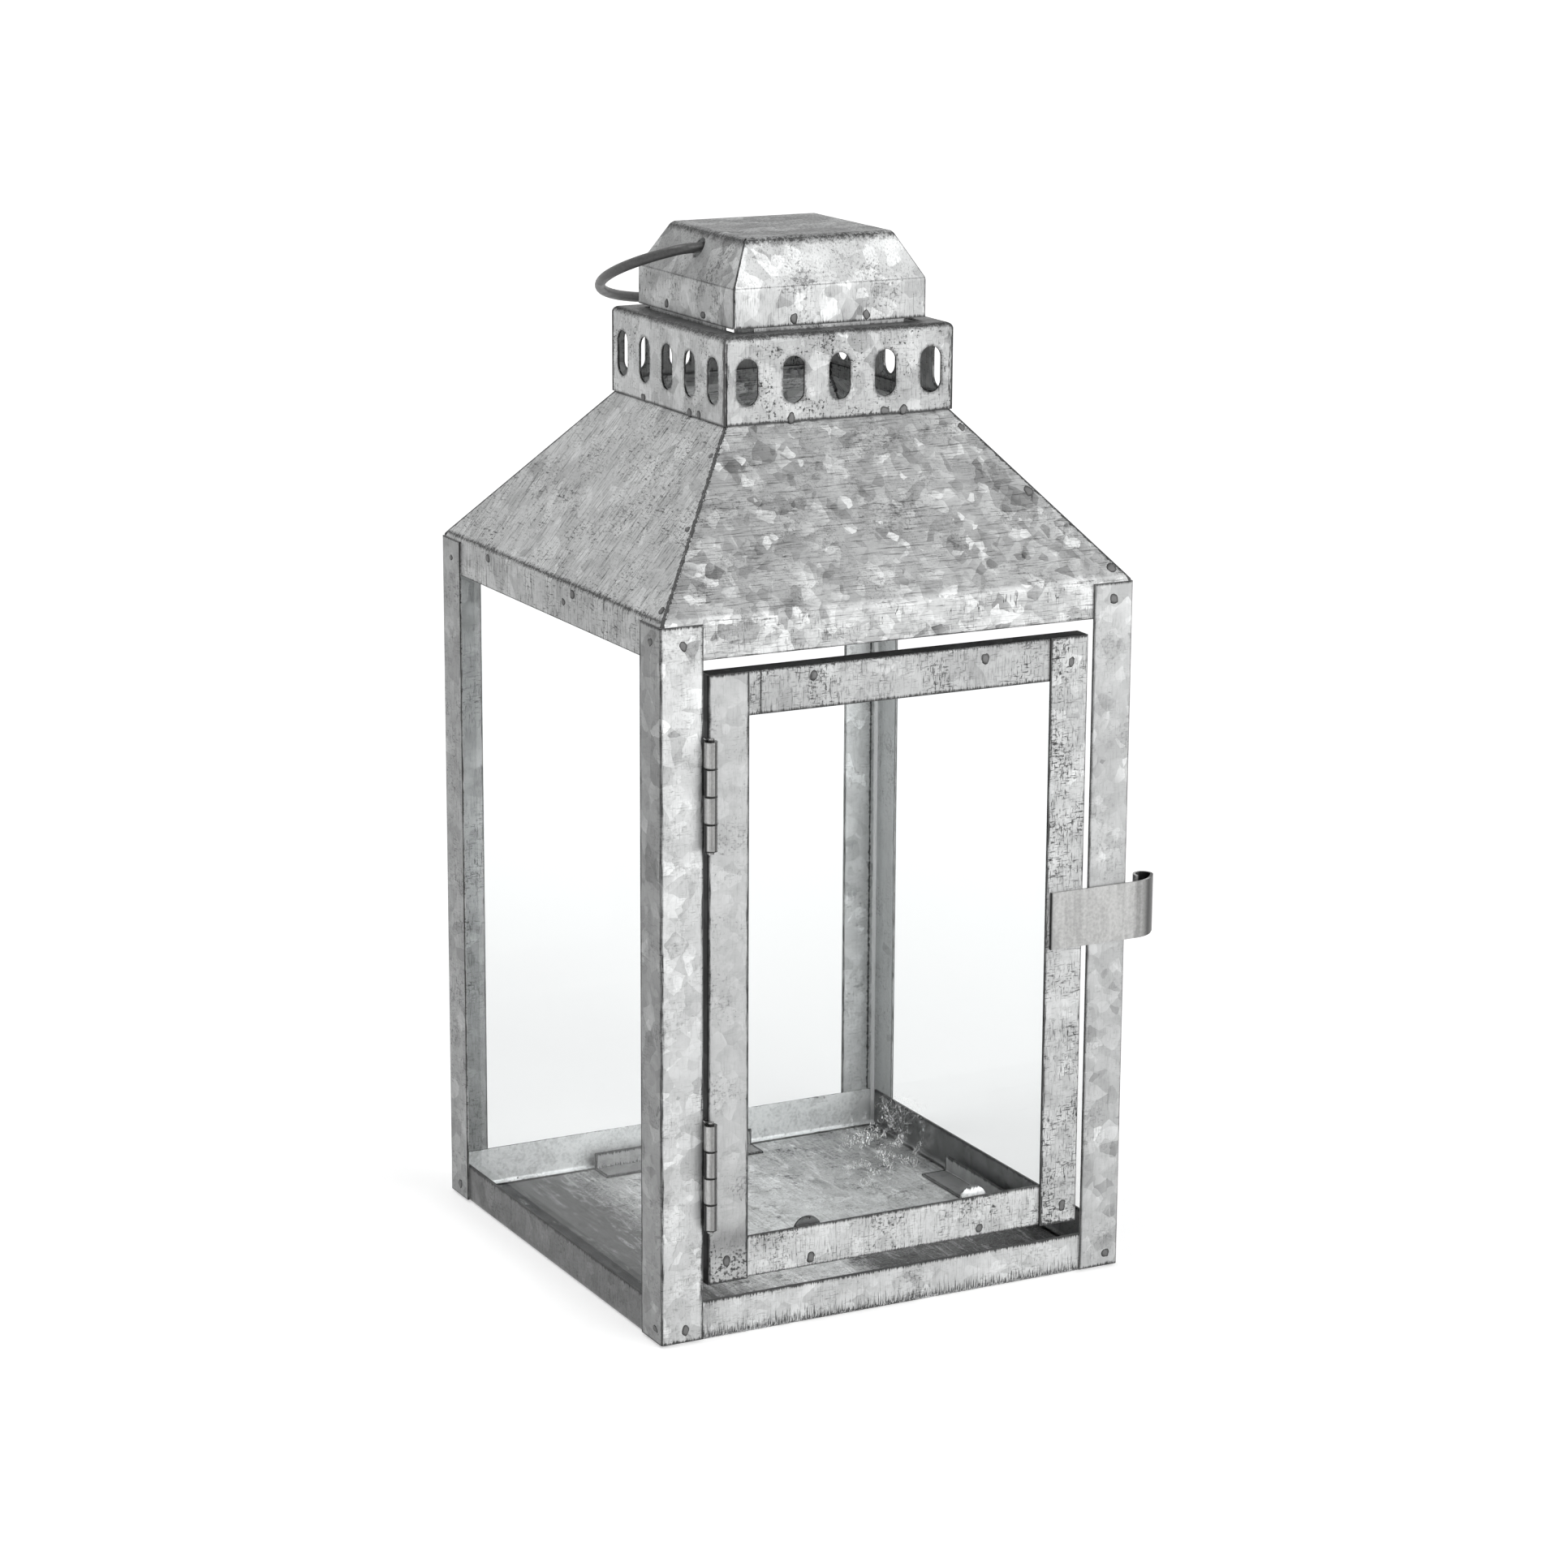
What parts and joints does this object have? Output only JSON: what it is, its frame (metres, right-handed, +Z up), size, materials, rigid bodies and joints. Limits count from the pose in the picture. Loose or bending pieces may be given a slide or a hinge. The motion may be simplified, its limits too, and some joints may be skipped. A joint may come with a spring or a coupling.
{
  "type": "candle lantern",
  "caption": "Square folded-sheet candle lantern with glass sides, a hinged glazed door held by a curled latch strip, a lapped hip roof, a slotted vent collar, a hooded cap and a wire bail.",
  "frame": {"origin": "middle of the flat underside of the base tray", "axes": "+Z up, the door faces -Y, the door's hinges are at -X and its latch at +X"},
  "size_m": [0.1622, 0.1543, 0.3041],
  "materials": {
    "galvanised_sheet": "spangled galvanised sheet, dull",
    "clear_glass": "clear, smooth",
    "hinge_steel": "smooth bare steel",
    "bail_wire": "dull dark wire",
    "latch_steel": "smooth light sheet"
  },
  "bodies": {
    "lantern_body": {"base_tray": "galvanised_sheet", "chimney_cap": "galvanised_sheet", "corner_post_back_left": "galvanised_sheet", "corner_post_back_right": "galvanised_sheet", "corner_post_front_left": "galvanised_sheet", "corner_post_front_right": "galvanised_sheet", "floor_clip_back": "galvanised_sheet", "floor_clip_left": "galvanised_sheet", "floor_clip_right": "galvanised_sheet", "glass_back": "clear_glass", "glass_left": "clear_glass", "glass_right": "clear_glass", "lower_hinge_pin": "hinge_steel", "lower_hinge_post_leaf": "hinge_steel", "roof_panel_back": "galvanised_sheet", "roof_panel_front": "galvanised_sheet", "roof_panel_left": "galvanised_sheet", "roof_panel_right": "galvanised_sheet", "top_clips_back": "galvanised_sheet", "top_clips_left": "galvanised_sheet", "top_clips_right": "galvanised_sheet", "upper_hinge_pin": "hinge_steel", "upper_hinge_post_leaf": "hinge_steel", "vent_collar": "galvanised_sheet"},
    "door": {"door_clip_bottom_left": "galvanised_sheet", "door_clip_bottom_right": "galvanised_sheet", "door_clip_top_left": "galvanised_sheet", "door_clip_top_right": "galvanised_sheet", "door_glass": "clear_glass", "door_rail_bottom": "galvanised_sheet", "door_rail_top": "galvanised_sheet", "door_stile_left": "galvanised_sheet", "door_stile_right": "galvanised_sheet", "latch_strip": "latch_steel", "lower_hinge_door_leaf": "hinge_steel", "upper_hinge_door_leaf": "hinge_steel"},
    "bail": {"bail_handle": "bail_wire"}
  },
  "joints": [
    {"name": "door_hinge", "type": "hinge", "parent": "lantern_body", "child": "door", "pos_m": [-0.0609, -0.07745, 0.10455], "axis": [0, 0, -1], "range_deg": [0, 180]},
    {"name": "bail_hinge", "type": "hinge", "parent": "lantern_body", "child": "bail", "pos_m": [0, 0, 0.299], "axis": [1, 0, 0], "range_deg": [0, 219]}
  ]
}
